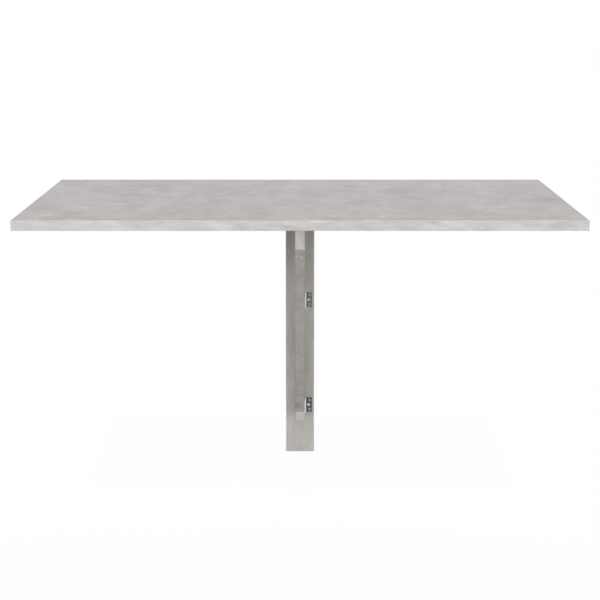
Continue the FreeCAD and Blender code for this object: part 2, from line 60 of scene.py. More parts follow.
def add_node(tree, kind, inputs=None, **settings):
    made = tree.nodes.new(kind)
    for name, value in settings.items():
        setattr(made, name, value)
    for socket, value in (inputs or {}).items():
        feed(tree, made.inputs[socket], value)
    return made


def math_node(tree, operation, first, second=0.0, third=0.0):
    made = add_node(tree, "ShaderNodeMath", {0: first, 1: second, 2: third}, operation=operation)
    return made.outputs[0]


def vector_node(tree, operation, *vectors):
    made = add_node(tree, "ShaderNodeVectorMath", dict(enumerate(vectors)), operation=operation)
    return made.outputs["Value" if operation in ("LENGTH", "DOT_PRODUCT") else "Vector"]


def scaled(tree, vector, factor):
    made = add_node(tree, "ShaderNodeVectorMath", {0: vector, "Scale": factor}, operation="SCALE")
    return made.outputs["Vector"]


def axes_of(tree, vector):
    return add_node(tree, "ShaderNodeSeparateXYZ", {"Vector": vector}).outputs


def noise(tree, vector, scale, detail=2.0, roughness=0.5, distortion=0.0):
    inputs = {"Vector": vector, "Scale": scale, "Detail": detail}
    inputs.update({"Roughness": roughness, "Distortion": distortion})
    return add_node(tree, "ShaderNodeTexNoise", inputs).outputs["Fac"]


def ramp_between(tree, value, low, high, bottom=0.0, top=1.0):
    """A smooth change from bottom to top while the value climbs from low to high."""
    made = add_node(
        tree,
        "ShaderNodeMapRange",
        {"Value": value, "From Min": low, "From Max": high, "To Min": bottom, "To Max": top},
        interpolation_type="SMOOTHSTEP",
    )
    return made.outputs["Result"]


def fade_between(tree, value, low, high):
    return ramp_between(tree, value, low, high, bottom=1.0, top=0.0)


def weighted_sum(tree, start, parts):
    total = start
    for value, weight in parts:
        total = math_node(tree, "MULTIPLY_ADD", value, weight, total)
    return total


def mixed_colour(tree, factor, first, second, blend="MIX"):
    made = add_node(tree, "ShaderNodeMix", data_type="RGBA", blend_type=blend)
    sockets = {socket.identifier: socket for socket in made.inputs}
    feed(tree, sockets["Factor_Float"], factor)
    feed(tree, sockets["A_Color"], first)
    feed(tree, sockets["B_Color"], second)
    return next(socket for socket in made.outputs if socket.identifier == "Result_Color")


def new_group(name, inputs, outputs):
    group = bpy.data.node_groups.new(name, "ShaderNodeTree")
    for label, kind in inputs:
        group.interface.new_socket(name=label, in_out="INPUT", socket_type=kind)
    for label, kind in outputs:
        group.interface.new_socket(name=label, in_out="OUTPUT", socket_type=kind)
    return group, group.nodes.new("NodeGroupInput").outputs, group.nodes.new("NodeGroupOutput").inputs


def scattered_dots(tree, place, grain, spacing, patch_size, widest):
    """Ragged dots, one to a cell at most, that come and go in patches."""
    raggedness, smallest, largest, soft_edge = (widest * share for share in (1.6, 0.4, 1.8, 0.3))
    cells = add_node(tree, "ShaderNodeTexVoronoi", {"Vector": place, "Scale": 1.0 / spacing})
    ragged = math_node(tree, "MULTIPLY_ADD", grain, raggedness, cells.outputs["Distance"])
    patches = noise(tree, place, scale=1.0 / patch_size, detail=1.0)
    size = ramp_between(tree, patches, low=0.50, high=0.72, bottom=smallest, top=largest)
    return ramp_between(tree, math_node(tree, "SUBTRACT", size, ragged), low=0.0, high=soft_edge)


def concrete_print():
    """Clouds, trowel marks, smudges and dry scuffs along the run; grain, pores and flecks by place."""
    tree, given, made = new_group(
        "concrete_print",
        [
            ("Run", "NodeSocketVector"),
            ("Place", "NodeSocketVector"),
            ("Ground", "NodeSocketColor"),
            ("Contrast", "NodeSocketFloat"),
            ("Wear", "NodeSocketFloat"),
        ],
        [("Color", "NodeSocketColor"), ("Roughness", "NodeSocketFloat"), ("Height", "NodeSocketFloat")],
    )
    run = given["Run"]
    place = given["Place"]
    trowel_run = vector_node(tree, "MULTIPLY", run, (1.0, 2.6, 2.6))
    smudge_run = vector_node(tree, "MULTIPLY", run, (1.0, 1.5, 1.5))
    clouds = noise(tree, run, scale=6.0, detail=4.0, roughness=0.55, distortion=0.2)
    mottle = noise(tree, run, scale=19.0, detail=8.0, roughness=0.60, distortion=0.2)
    trowel = noise(tree, trowel_run, scale=26.0, detail=7.0, roughness=0.62, distortion=0.3)
    smudge_and_painted_shade = noise(tree, smudge_run, scale=11.0, detail=7.0, roughness=0.62, distortion=0.2)
    smudge_and_painted_shade = ramp_between(tree, smudge_and_painted_shade, low=0.52, high=0.72)
    patches = noise(tree, run, scale=9.0, detail=3.0)
    patches = ramp_between(tree, patches, low=0.42, high=0.60)
    strokes = noise(tree, trowel_run, scale=34.0, detail=7.0, roughness=0.68, distortion=0.4)
    strokes = ramp_between(tree, strokes, low=0.50, high=0.70)
    breaks = noise(tree, place, scale=210.0, detail=5.0, roughness=0.65)
    breaks = ramp_between(tree, breaks, low=0.36, high=0.60)
    scuff = math_node(tree, "MULTIPLY", patches, strokes)
    scuff = math_node(tree, "MULTIPLY", scuff, breaks)
    scuff = math_node(tree, "MULTIPLY", scuff, given["Wear"])
    grain = noise(tree, place, scale=700.0, detail=4.0, roughness=0.62)
    pore = scattered_dots(tree, place, grain, spacing=0.0036, patch_size=0.014, widest=0.15)
    fleck = scattered_dots(tree, place, grain, spacing=0.011, patch_size=0.030, widest=0.13)
    fleck = math_node(tree, "MULTIPLY", fleck, given["Wear"])
    tone = weighted_sum(
        tree,
        -0.48,
        [
            (clouds, 0.20),
            (mottle, 0.38),
            (trowel, 0.26),
            (grain, 0.12),
            (smudge_and_painted_shade, -0.12),
            (scuff, 0.34),
            (pore, -0.09),
            (fleck, 0.25),
        ],
    )
    tone = math_node(tree, "MULTIPLY_ADD", tone, given["Contrast"], 1.0)
    warmth = ramp_between(tree, noise(tree, run, scale=7.0), low=0.42, high=0.72)
    tint = mixed_colour(tree, warmth, ROSY_TINT, GREENISH_TINT)
    ground = mixed_colour(tree, 1.0, given["Ground"], tint, blend="MULTIPLY")
    feed(tree, made["Color"], scaled(tree, ground, tone))
    feed(tree, made["Roughness"], weighted_sum(tree, 0.50, [(mottle, 0.12), (grain, 0.06), (scuff, 0.06)]))
    feed(tree, made["Height"], weighted_sum(tree, 0.0, [(grain, 0.55), (mottle, 0.35), (pore, -0.8)]))
    return tree


BROWN_FLAKE = (0.270, 0.170, 0.095, 1.0)
STRAW_FLAKE = (0.580, 0.440, 0.290, 1.0)
COARSE_FLAKE = 0.0019
FINE_FLAKE = 0.0008
FLAKE_WANDER = (0.0016, 0.0016, 0.0016)


def chipboard_core():
    """Raw chipboard: coarse and fine flakes pressed flat, from straw to brown, with dust between them."""
    tree, given, made = new_group(
        "chipboard_core",
        [("Place", "NodeSocketVector")],
        [("Color", "NodeSocketColor"), ("Height", "NodeSocketFloat")],
    )
    place = given["Place"]
    wander = add_node(tree, "ShaderNodeTexNoise", {"Vector": place, "Scale": 400.0, "Detail": 3.0})
    flake_place = vector_node(tree, "MULTIPLY_ADD", wander.outputs["Color"], FLAKE_WANDER, place)
    flakes = []
    for size in (COARSE_FLAKE, FINE_FLAKE):
        cells = add_node(tree, "ShaderNodeTexVoronoi", {"Vector": flake_place, "Scale": 1.0 / size})
        shade = add_node(tree, "ShaderNodeSeparateColor", {"Color": cells.outputs["Color"]})
        flakes.append(shade.outputs["Red"])
    coarse, fine = flakes
    dust = noise(tree, place, scale=2200.0, detail=4.0, roughness=0.65)
    straw = weighted_sum(tree, -0.14, [(coarse, 0.42), (fine, 0.42), (dust, 0.45)])
    feed(tree, made["Color"], mixed_colour(tree, straw, BROWN_FLAKE, STRAW_FLAKE))
    feed(tree, made["Height"], weighted_sum(tree, 0.0, [(coarse, 0.5), (fine, 0.3), (dust, 0.4)]))
    return tree


print_group = concrete_print()
core_group = chipboard_core()


def new_material(name):
    material = bpy.data.materials.new(name)
    material.use_nodes = True
    tree = material.node_tree
    place = add_node(tree, "ShaderNodeTexCoord").outputs["Object"]
    return material, tree, tree.nodes["Principled BSDF"], place


def bumped(tree, shader, height, strength, distance):
    bump = add_node(tree, "ShaderNodeBump", {"Height": height, "Strength": strength, "Distance": distance})
    feed(tree, shader.inputs["Normal"], bump.outputs["Normal"])


def finish_with(material, *nodes):
    for node in nodes:
        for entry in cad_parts[node].material_slots:
            entry.material = material


def printed(tree, place, run, ground, contrast, wear=1.0):
    """The print on one ground colour, or on a ground and contrast that a function gives by place."""
    if callable(ground):
        ground, contrast = ground(tree, place)
    shift, turn, stretch = run
    cut = {"Vector": place, "Location": shift, "Rotation": turn, "Scale": stretch}
    cut = add_node(tree, "ShaderNodeMapping", cut).outputs["Vector"]
    inputs = {"Run": cut, "Place": place, "Ground": ground, "Contrast": contrast, "Wear": wear}
    return add_node(tree, "ShaderNodeGroup", inputs, node_tree=print_group).outputs


FACE_SKIN = 0.00025
CORE_ROUGHNESS = 0.90
CORE_RELIEF = 4.0


def face_board(node, name, run, ground=CONCRETE, contrast=1.0):
    """Print on the two faces, chipboard wherever a cut or a bore opens the thickness between them."""
    material, tree, shader, place = new_material(name)
    face = printed(tree, place, run, ground, contrast)
    core = add_node(tree, "ShaderNodeGroup", {"Place": place}, node_tree=core_group).outputs
    low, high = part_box(node)
    thickness = min(high - low)
    thin_axis = list(high - low).index(thickness)
    depth = math_node(tree, "SUBTRACT", axes_of(tree, place)[thin_axis], (low + high)[thin_axis] / 2)
    depth = math_node(tree, "ABSOLUTE", depth)
    is_face = math_node(tree, "GREATER_THAN", depth, thickness / 2 - FACE_SKIN)
    is_core = math_node(tree, "SUBTRACT", 1.0, is_face)
    feed(tree, shader.inputs["Base Color"], mixed_colour(tree, is_face, core["Color"], face["Color"]))
    roughness = math_node(tree, "MULTIPLY", is_core, CORE_ROUGHNESS)
    roughness = math_node(tree, "MULTIPLY_ADD", is_face, face["Roughness"], roughness)
    feed(tree, shader.inputs["Roughness"], roughness)
    height = math_node(tree, "MULTIPLY", core["Height"], CORE_RELIEF)
    height = math_node(tree, "MULTIPLY", height, is_core)
    height = math_node(tree, "MULTIPLY_ADD", is_face, face["Height"], height)
    bumped(tree, shader, height, strength=0.35, distance=0.00008)
    shader.inputs["Specular IOR Level"].default_value = 0.3
    finish_with(material, node)


BAND_CONTRAST = 1.7
BAND_WEAR = 0.35
BAND_SMOOTHER = 0.06
SCRAPED_BAND = (0.72, 0.70, 0.68, 1.0)
SCRAPED_SHARE = 0.18
CORNER_FACING = 0.85


def band_edges(nodes, name, run, ground=CONCRETE):
    """The same print on plastic band, a little smoother, and paler where its corners were scraped."""
    material, tree, shader, place = new_material(name)
    face = printed(tree, place, run, ground, BAND_CONTRAST, BAND_WEAR)
    normal = add_node(tree, "ShaderNodeTexCoord").outputs["Normal"]
    sides = axes_of(tree, vector_node(tree, "ABSOLUTE", normal))
    squarest = math_node(tree, "MAXIMUM", sides["X"], sides["Y"])
    squarest = math_node(tree, "MAXIMUM", squarest, sides["Z"])
    corner = math_node(tree, "LESS_THAN", squarest, CORNER_FACING)
    scraped = math_node(tree, "MULTIPLY", corner, SCRAPED_SHARE)
    feed(tree, shader.inputs["Base Color"], mixed_colour(tree, scraped, face["Color"], SCRAPED_BAND))
    feed(tree, shader.inputs["Roughness"], math_node(tree, "SUBTRACT", face["Roughness"], BAND_SMOOTHER))
    bumped(tree, shader, face["Height"], strength=0.25, distance=0.00006)
    shader.inputs["Specular IOR Level"].default_value = 0.35
    finish_with(material, *nodes)


# A run is the shift, turn and stretch at which a piece is cut from the print
ALONG = (0.0, 0.0, 0.0)
UPRIGHT = (0.0, math.pi / 2, 0.0)
rail_run = ((2.3, 0.0, 1.1), ALONG, (1.0, 1.0, 1.0))
rail_bottom_run = ((4.1, 0.7, 0.2), ALONG, (1.0, 3.0, 3.0))
rail_end_run = ((0.4, 1.7, 2.2), UPRIGHT, (3.0, 3.0, 1.0))
face_board("wall_rail", "rail_board", rail_run)
band_edges(["rail_bottom_band"], "rail_band", rail_bottom_run)
band_edges(["rail_left_band", "rail_right_band"], "rail_end_band", rail_end_run)

# The spine is a narrow upright of the same board under the middle of the rail.
# Two dowels hold it to the rail, and two wall screws behind the bracket fix it to the wall.
# Its print runs upwards; both long edges and the bottom end are banded.
# A darker copy of the concrete ground, painted shade for the upright boards that stand under the leaf
UPRIGHT_CONCRETE_PAINTED_SHADE = (0.458, 0.442, 0.421, 1.0)
UPRIGHT_CONTRAST = 1.15
# Painted light and shade on the spine's ground: paler from about halfway down, darker again towards the
# lower end, and darker at the top left
PAINTED_LIGHT_HEIGHTS = (-0.20, -0.10)
PAINTED_END_SHADE_HEIGHTS = (-0.47, -0.36)
PAINTED_SHADE_SIDES = (-0.016, -0.006)
PAINTED_SHADE_HEIGHTS = (-0.16, -0.06)
PAINTED_LIGHT_SHIFT = 0.07
PAINTED_END_SHADE_SHIFT = -0.13
PAINTED_SHADE_SHIFT = -0.14


def spine_painted_light_and_shade(tree, place):
    """Painted light and shade along the spine: painted shade at the top left, painted light from about
    halfway down, and painted shade again over the lower end.
    """
    spots = axes_of(tree, place)
    painted_light = fade_between(tree, spots["Z"], *PAINTED_LIGHT_HEIGHTS)
    painted_end_shade = fade_between(tree, spots["Z"], *PAINTED_END_SHADE_HEIGHTS)
    smudge_and_painted_shade = fade_between(tree, spots["X"], *PAINTED_SHADE_SIDES)
    smudge_and_painted_shade = math_node(tree, "MULTIPLY", smudge_and_painted_shade, ramp_between(tree, spots["Z"], *PAINTED_SHADE_HEIGHTS))
    shifts = [(painted_light, PAINTED_LIGHT_SHIFT), (painted_end_shade, PAINTED_END_SHADE_SHIFT), (smudge_and_painted_shade, PAINTED_SHADE_SHIFT)]
    return scaled(tree, UPRIGHT_CONCRETE_PAINTED_SHADE[:3], weighted_sum(tree, 1.0, shifts)), UPRIGHT_CONTRAST


spine_run = ((1.7, 3.2, 0.4), UPRIGHT, (2.4, 2.4, 1.0))
spine_band_run = ((0.9, 2.6, 1.4), UPRIGHT, (3.0, 3.0, 1.0))
face_board("spine", "spine_board", spine_run, spine_painted_light_and_shade)
band_edges(["spine_bottom_band", "spine_left_band", "spine_right_band"], "spine_band", spine_band_run)

# The dowels are 8 mm beech pegs, turned and broken at both ends, and glued into the board edges.
# Four stand between rail and strip and two between rail and spine, all out of sight.
DARK_BEECH = (0.400, 0.235, 0.120, 1.0)
PALE_BEECH = (0.610, 0.430, 0.260, 1.0)
BEECH_RAY = (0.300, 0.160, 0.080, 1.0)
RAY_SHARE = 0.5


def turned_beech(name):
    material, tree, shader, place = new_material(name)
    ring_run = vector_node(tree, "MULTIPLY", place, (1.0, 1.0, 0.12))
    ray_run = vector_node(tree, "MULTIPLY", place, (1.0, 1.0, 0.25))
    rings = noise(tree, ring_run, scale=900.0, detail=4.0, roughness=0.6, distortion=0.3)
    rays = ramp_between(tree, noise(tree, ray_run, scale=2600.0, detail=1.0), low=0.60, high=0.70)
    colour = mixed_colour(tree, rings, DARK_BEECH, PALE_BEECH)
    colour = mixed_colour(tree, math_node(tree, "MULTIPLY", rays, RAY_SHARE), colour, BEECH_RAY)
    feed(tree, shader.inputs["Base Color"], colour)
    roughness = ramp_between(tree, rings, low=0.2, high=0.8, bottom=0.55, top=0.72)
    feed(tree, shader.inputs["Roughness"], roughness)
    bumped(tree, shader, rings, strength=0.3, distance=0.0001)
    return material


finish_with(turned_beech("beech_dowel"), "strip_dowels", "spine_dowels")

# The top strip is the fixed rear part of the table top, one board lying on the rail's top edge.
# Dowels place it and four cam fittings pull it down; its rear edge, against the wall, stays raw.
ACROSS = (0.0, 0.0, math.pi / 2)
TOP_RUN = ((5.2, 1.4, 0.0), ALONG, (1.0, 0.5, 1.0))
TOP_CONTRAST = 1.3
strip_front_run = ((3.3, 1.2, 0.8), ALONG, (1.0, 3.0, 3.0))
strip_end_run = ((0.3, 4.2, 0.8), ACROSS, (3.0, 1.0, 3.0))
face_board("top_strip", "top_strip_board", TOP_RUN, CONCRETE, TOP_CONTRAST)
band_edges(["strip_front_band"], "strip_band", strip_front_run)
band_edges(["strip_left_band", "strip_right_band"], "strip_end_band", strip_end_run)

# Each cam fitting is a steel bolt screwed into the strip and a die-cast zinc disc in the rail.
# A turn of the disc's cross recess draws the bolt's head down and closes the joint.
BRIGHT_ZINC = (0.420, 0.425, 0.430, 1.0)
DULL_ZINC = (0.310, 0.312, 0.315, 1.0)


def cast_zinc(name):
    material, tree, shader, place = new_material(name)
    cast = noise(tree, place, scale=900.0, detail=4.0, roughness=0.6)
    dull = ramp_between(tree, noise(tree, place, scale=160.0, detail=3.0), low=0.35, high=0.70)
    feed(tree, shader.inputs["Base Color"], mixed_colour(tree, dull, BRIGHT_ZINC, DULL_ZINC))
    feed(tree, shader.inputs["Roughness"], weighted_sum(tree, 0.30, [(cast, 0.18), (dull, 0.12)]))
    bumped(tree, shader, cast, strength=0.4, distance=0.00005)
    shader.inputs["Metallic"].default_value = 1.0
    return material


finish_with(cast_zinc("cast_zinc"), "cam_locks", "cam_bolts")

# The support bracket is the same board on edge: deep nose, one straight slope and a short upright foot.
# It swings on two butt hinges at its rear edge and carries the raised leaf on its top edge.
# One band is wrapped round its whole outline, and the print runs upwards.
NOSE_HEIGHT = 0.0624
FOOT_HEIGHT = 0.0176
bracket_low, bracket_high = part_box("bracket_edge_band")
SLOPE_TOP = bracket_high.z - NOSE_HEIGHT
SLOPE_BOTTOM = bracket_low.z + FOOT_HEIGHT
SLOPE_CHANGE_HEIGHTS = (-0.36, -0.27)
# The band's tones are painted light and shade: the front faces of nose and foot paler, the downward-turned
# slope darker, its lower part darker still
NOSE_BAND_PAINTED_LIGHT = (0.590, 0.563, 0.543, 1.0)
UPPER_SLOPE_PAINTED_SHADE = (0.410, 0.383, 0.358, 1.0)
LOWER_SLOPE_PAINTED_SHADE = (0.340, 0.319, 0.294, 1.0)
FOOT_BAND_PAINTED_LIGHT = (0.457, 0.436, 0.418, 1.0)
SPECK_BAND = (0.780, 0.750, 0.715, 1.0)
SPECK_PLACES = ((-0.0071, -0.0378), (0.0028, -0.0401))
SPECK_RADIUS = 0.0030
SLOPE_CONTRAST = 2.4
END_CONTRAST = 0.9


def bracket_band_painted_light_and_shade(tree, place):
    """Nose and foot are painted paler as light, the slope darker as shade and darker still on its lower
    part, and two pale specks lie at the top of the slope.
    """
    height = axes_of(tree, place)["Z"]
    above_foot = math_node(tree, "GREATER_THAN", height, SLOPE_BOTTOM)
    above_slope = math_node(tree, "GREATER_THAN", height, SLOPE_TOP)
    rising = ramp_between(tree, height, *SLOPE_CHANGE_HEIGHTS)
    ground = mixed_colour(tree, rising, LOWER_SLOPE_PAINTED_SHADE, UPPER_SLOPE_PAINTED_SHADE)
    flat_place = vector_node(tree, "MULTIPLY", place, (1.0, 0.0, 1.0))
    for across, up in SPECK_PLACES:
        apart = vector_node(tree, "LENGTH", vector_node(tree, "SUBTRACT", flat_place, (across, 0.0, up)))
        speck = fade_between(tree, apart, 0.0, SPECK_RADIUS)
        ground = mixed_colour(tree, speck, ground, SPECK_BAND)
    ground = mixed_colour(tree, above_foot, FOOT_BAND_PAINTED_LIGHT, ground)
    ground = mixed_colour(tree, above_slope, ground, NOSE_BAND_PAINTED_LIGHT)
    on_slope = math_node(tree, "SUBTRACT", above_foot, above_slope)
    contrast = math_node(tree, "MULTIPLY_ADD", on_slope, SLOPE_CONTRAST - END_CONTRAST, END_CONTRAST)
    return ground, contrast


bracket_run = ((0.6, 4.4, 2.1), UPRIGHT, (2.0, 2.0, 1.0))
bracket_band_run = ((2.2, 0.3, 3.7), UPRIGHT, (2.4, 2.4, 1.7))
face_board("support_bracket", "bracket_board", bracket_run, UPRIGHT_CONCRETE_PAINTED_SHADE, UPRIGHT_CONTRAST)
band_edges(["bracket_edge_band"], "bracket_band", bracket_band_run, bracket_band_painted_light_and_shade)

# The two swing hinges are small butt hinges stamped from plated steel sheet, with rolled knuckles.
# One leaf is screwed to the spine and the other to the bracket's right side; a loose wire pin joins them.
# The barrels carry a painted highlight on the side that faces the room, the sheet's sheared ends are bright,
# and the sheet is painted dark in place of the dark surroundings its plating reflects, darker still on the
# lower hinge.
SHEET_PAINTED_DARK = (0.180, 0.175, 0.172)
HIGHLIGHT_AND_SHEARED_STEEL = (0.970, 0.960, 0.940, 1.0)
STAIN_SHADE = 0.70
SWING_HINGE_TONES = {"upper": 1.3, "lower": 0.74}
BARREL_RADIUS = 0.0020
BARREL_REACH = BARREL_RADIUS * 1.08
HIGHLIGHT_FACING = (0.62, 0.78)
SHEARED_FACING = (0.80, 0.92)
BRUSH_STRETCH = 0.04
TO_ROOM = (0.0, -1.0, 0.0)


def middle_of(node):
    low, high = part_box(node)
    return (low + high) / 2


def hinge_material(name, pin, highlight_towards, tone=1.0):
    """Brushed and stained sheet painted dark for what it reflects, a painted highlight on the barrel's side
    that faces the given way, bright ends facing away.
    """
    material, tree, shader, place = new_material(name)
    low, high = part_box(pin)
    pin_axis = list(high - low).index(max(high - low))
    off_axis = tuple(0.0 if axis == pin_axis else 1.0 for axis in range(3))
    brush_run = tuple(BRUSH_STRETCH if axis == pin_axis else 1.0 for axis in range(3))
    offset = vector_node(tree, "SUBTRACT", place, middle_of(pin))
    offset = vector_node(tree, "MULTIPLY", offset, off_axis)
    barrel = fade_between(tree, vector_node(tree, "LENGTH", offset), BARREL_RADIUS, BARREL_REACH)
    normal = add_node(tree, "ShaderNodeTexCoord").outputs["Normal"]
    # Painted highlight where the barrel faces the given direction, joined below with the bright sheared ends
    highlight_and_sheared = ramp_between(tree, vector_node(tree, "DOT_PRODUCT", normal, highlight_towards), *HIGHLIGHT_FACING)
    highlight_and_sheared = math_node(tree, "MULTIPLY", highlight_and_sheared, barrel)
    away = vector_node(tree, "NORMALIZE", offset)
    sheared = ramp_between(tree, vector_node(tree, "DOT_PRODUCT", normal, away), *SHEARED_FACING)
    sheared = math_node(tree, "MULTIPLY", sheared, math_node(tree, "SUBTRACT", 1.0, barrel))
    highlight_and_sheared = math_node(tree, "MAXIMUM", highlight_and_sheared, sheared)
    brush_place = vector_node(tree, "MULTIPLY", place, brush_run)
    brushed = noise(tree, brush_place, scale=5200.0, detail=3.0, roughness=0.6)
    stain = ramp_between(tree, noise(tree, place, scale=260.0, detail=3.0), low=0.40, high=0.68)
    clean = tuple(channel * tone for channel in SHEET_PAINTED_DARK) + (1.0,)
    stained = tuple(channel * tone * STAIN_SHADE for channel in SHEET_PAINTED_DARK) + (1.0,)
    sheet = mixed_colour(tree, stain, clean, stained)
    feed(tree, shader.inputs["Base Color"], mixed_colour(tree, highlight_and_sheared, sheet, HIGHLIGHT_AND_SHEARED_STEEL))
    roughness = weighted_sum(tree, 0.27, [(brushed, 0.20), (stain, 0.08), (highlight_and_sheared, -0.30)])
    feed(tree, shader.inputs["Roughness"], roughness)
    bumped(tree, shader, brushed, strength=0.25, distance=0.00004)
    shader.inputs["Metallic"].default_value = 1.0
    return material


# The leaf's pattern lies with the pin on Z and the plate on the +X side, at the frame's own sizes
leaf_low, leaf_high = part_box("upper_hinge_spine_leaf")
HINGE_HALF = (leaf_high.z - leaf_low.z) / 2
PLATE_REACH = leaf_high.x - middle_of("upper_hinge_pin").x
PIN_STANDOFF = leaf_high.y - middle_of("upper_hinge_pin").y
PLATE_NECK = 0.0024
PLATE_CORNER = 0.0012
SHEET = 0.00095
SHEET_MIDDLE = SHEET / 2 - PIN_STANDOFF
SHEET_EDGE_BREAK = 0.00012
SHARP_EDGE = math.radians(50.0)
SMOOTH_BELOW = math.radians(35.0)
NECK_BEND = 0.0012
NECK_BEND_RISE = 0.7
ROLL_RADIUS = BARREL_RADIUS - SHEET / 2
ROLL_ANGLE = math.radians(305.0)
ROLL_STEPS = 18
MIDDLE_KNUCKLE = 0.010
KNUCKLE_GAP = 0.00025
SCREW_HEAD = 0.0027
SEAT_CLEARANCE = 0.00005
SINK_RADIUS = SCREW_HEAD + SEAT_CLEARANCE
SINK_FACE = SHEET - PIN_STANDOFF
SINK_DEPTH = 0.0020
SINK_OVERRUN = 0.0005
OUTER_SCREW_REACH = 0.0092
MIDDLE_SCREW_REACH = 0.0070
SCREW_SPREAD = 0.010
SINK_PLACES = (
    (OUTER_SCREW_REACH, -SCREW_SPREAD),
    (MIDDLE_SCREW_REACH, 0.0),
    (OUTER_SCREW_REACH, SCREW_SPREAD),
)
MERGE_WITHIN = 1e-6
PLACE_SLACK = 1e-5


def select_where(piece, kind, test):
    """Leave edit mode on with only those vertices, edges or faces selected whose middle passes the test."""
    bpy.ops.object.mode_set(mode="EDIT")
    bpy.ops.mesh.select_mode(type=kind)
    bpy.ops.mesh.select_all(action="DESELECT")
    bpy.ops.object.mode_set(mode="OBJECT")
    points = piece.data.vertices
    parts = {"VERT": points, "EDGE": piece.data.edges, "FACE": piece.data.polygons}[kind]
    for part in parts:
        corners = [part.co] if kind == "VERT" else [points[index].co for index in part.vertices]
        part.select = test(sum(corners, Vector()) / len(corners))
    bpy.ops.object.mode_set(mode="EDIT")


def apply_modifier(piece, kind, **settings):
    bpy.context.view_layer.objects.active = piece
    modifier = piece.modifiers.new(kind.lower(), kind)
    for name, value in settings.items():
        setattr(modifier, name, value)
    bpy.ops.object.modifier_apply(modifier=modifier.name)


def combine(piece, tool, operation):
    apply_modifier(piece, "BOOLEAN", operation=operation, object=tool, solver="EXACT")
    bpy.data.objects.remove(tool)


def smooth_shaded(piece):
    piece.select_set(True)
    bpy.context.view_layer.objects.active = piece
    bpy.ops.object.shade_smooth_by_angle(angle=SMOOTH_BELOW)


def rolled_leaf(name, knuckles):
    """A flat plate whose knuckle tabs are bent up and rolled round the pin, which lies on Z."""
    bpy.ops.object.select_all(action="DESELECT")
    middle = (PLATE_NECK + PLATE_REACH) / 2
    bpy.ops.mesh.primitive_plane_add(
        size=1.0, location=(middle, SHEET_MIDDLE, 0.0), rotation=(math.pi / 2, 0.0, 0.0)
    )
    leaf = bpy.context.object
    leaf.name = name
    leaf.scale = (PLATE_REACH - PLATE_NECK, HINGE_HALF * 2, 1.0)
    bpy.ops.object.transform_apply(location=True, rotation=True, scale=True)
    select_where(leaf, "VERT", lambda co: co.x > middle)
    bpy.ops.mesh.bevel(offset=PLATE_CORNER, affect="VERTICES", segments=4)
    for height in (end for span in knuckles for end in span if abs(end) < HINGE_HALF):
        bpy.ops.mesh.select_all(action="SELECT")
        bpy.ops.mesh.bisect(plane_co=(0.0, 0.0, height), plane_no=(0.0, 0.0, 1.0))

    def on_tab(co):
        return co.x < PLATE_NECK + PLACE_SLACK and any(low < co.z < high for low, high in knuckles)

    select_where(leaf, "EDGE", on_tab)
    rise = -ROLL_RADIUS - SHEET_MIDDLE
    bend_rise = rise * NECK_BEND_RISE
    for run_back, step in ((NECK_BEND, bend_rise), (PLATE_NECK - NECK_BEND, rise - bend_rise)):
        bpy.ops.mesh.extrude_edges_move(TRANSFORM_OT_translate={"value": (-run_back, step, 0.0)})
    bpy.ops.mesh.spin(steps=ROLL_STEPS, angle=ROLL_ANGLE, center=(0.0, 0.0, 0.0), axis=(0.0, 0.0, 1.0))
    bpy.ops.mesh.select_all(action="SELECT")
    bpy.ops.mesh.remove_doubles(threshold=MERGE_WITHIN)
    bpy.ops.mesh.normals_make_consistent(inside=False)
    bpy.ops.object.mode_set(mode="OBJECT")
    apply_modifier(leaf, "SOLIDIFY", thickness=SHEET, offset=0.0, use_even_offset=True)
    for reach, height in SINK_PLACES:
        bpy.ops.object.select_all(action="DESELECT")
        bpy.ops.mesh.primitive_cone_add(
            vertices=32,
            radius1=SINK_RADIUS - SINK_DEPTH,
            radius2=SINK_RADIUS + SINK_OVERRUN,
            depth=SINK_DEPTH + SINK_OVERRUN,
            location=(reach, SINK_FACE + (SINK_OVERRUN - SINK_DEPTH) / 2, height),
            rotation=(-math.pi / 2, 0.0, 0.0),
        )
        combine(leaf, bpy.context.object, "DIFFERENCE")
    edges = {"width": SHEET_EDGE_BREAK, "limit_method": "ANGLE", "angle_limit": SHARP_EDGE}
    apply_modifier(leaf, "BEVEL", segments=2, **edges)
    smooth_shaded(leaf)
    return leaf


def turned_axes(x_to, y_to):
    x_to, y_to = Vector(x_to), Vector(y_to)
    return Matrix((x_to, y_to, x_to.cross(y_to))).transposed()


def placed_copy(pattern, name, place, turn):
    """A copy with its own mesh, turned and moved in that mesh."""
    copy = pattern.copy()
    copy.data = pattern.data.copy()
    copy.name = name
    copy.data.transform(Matrix.Translation(place) @ turn.to_4x4())
    bpy.context.scene.collection.objects.link(copy)
    return copy


def set_hinge_leaf(pattern, node, pin, turn, steel, body):
    leaf = placed_copy(pattern, node.replace("leaf", "sheet"), middle_of(pin), turn)
    leaf.data.materials.clear()
    leaf.data.materials.append(steel)
    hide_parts(node)
    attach(leaf, body)


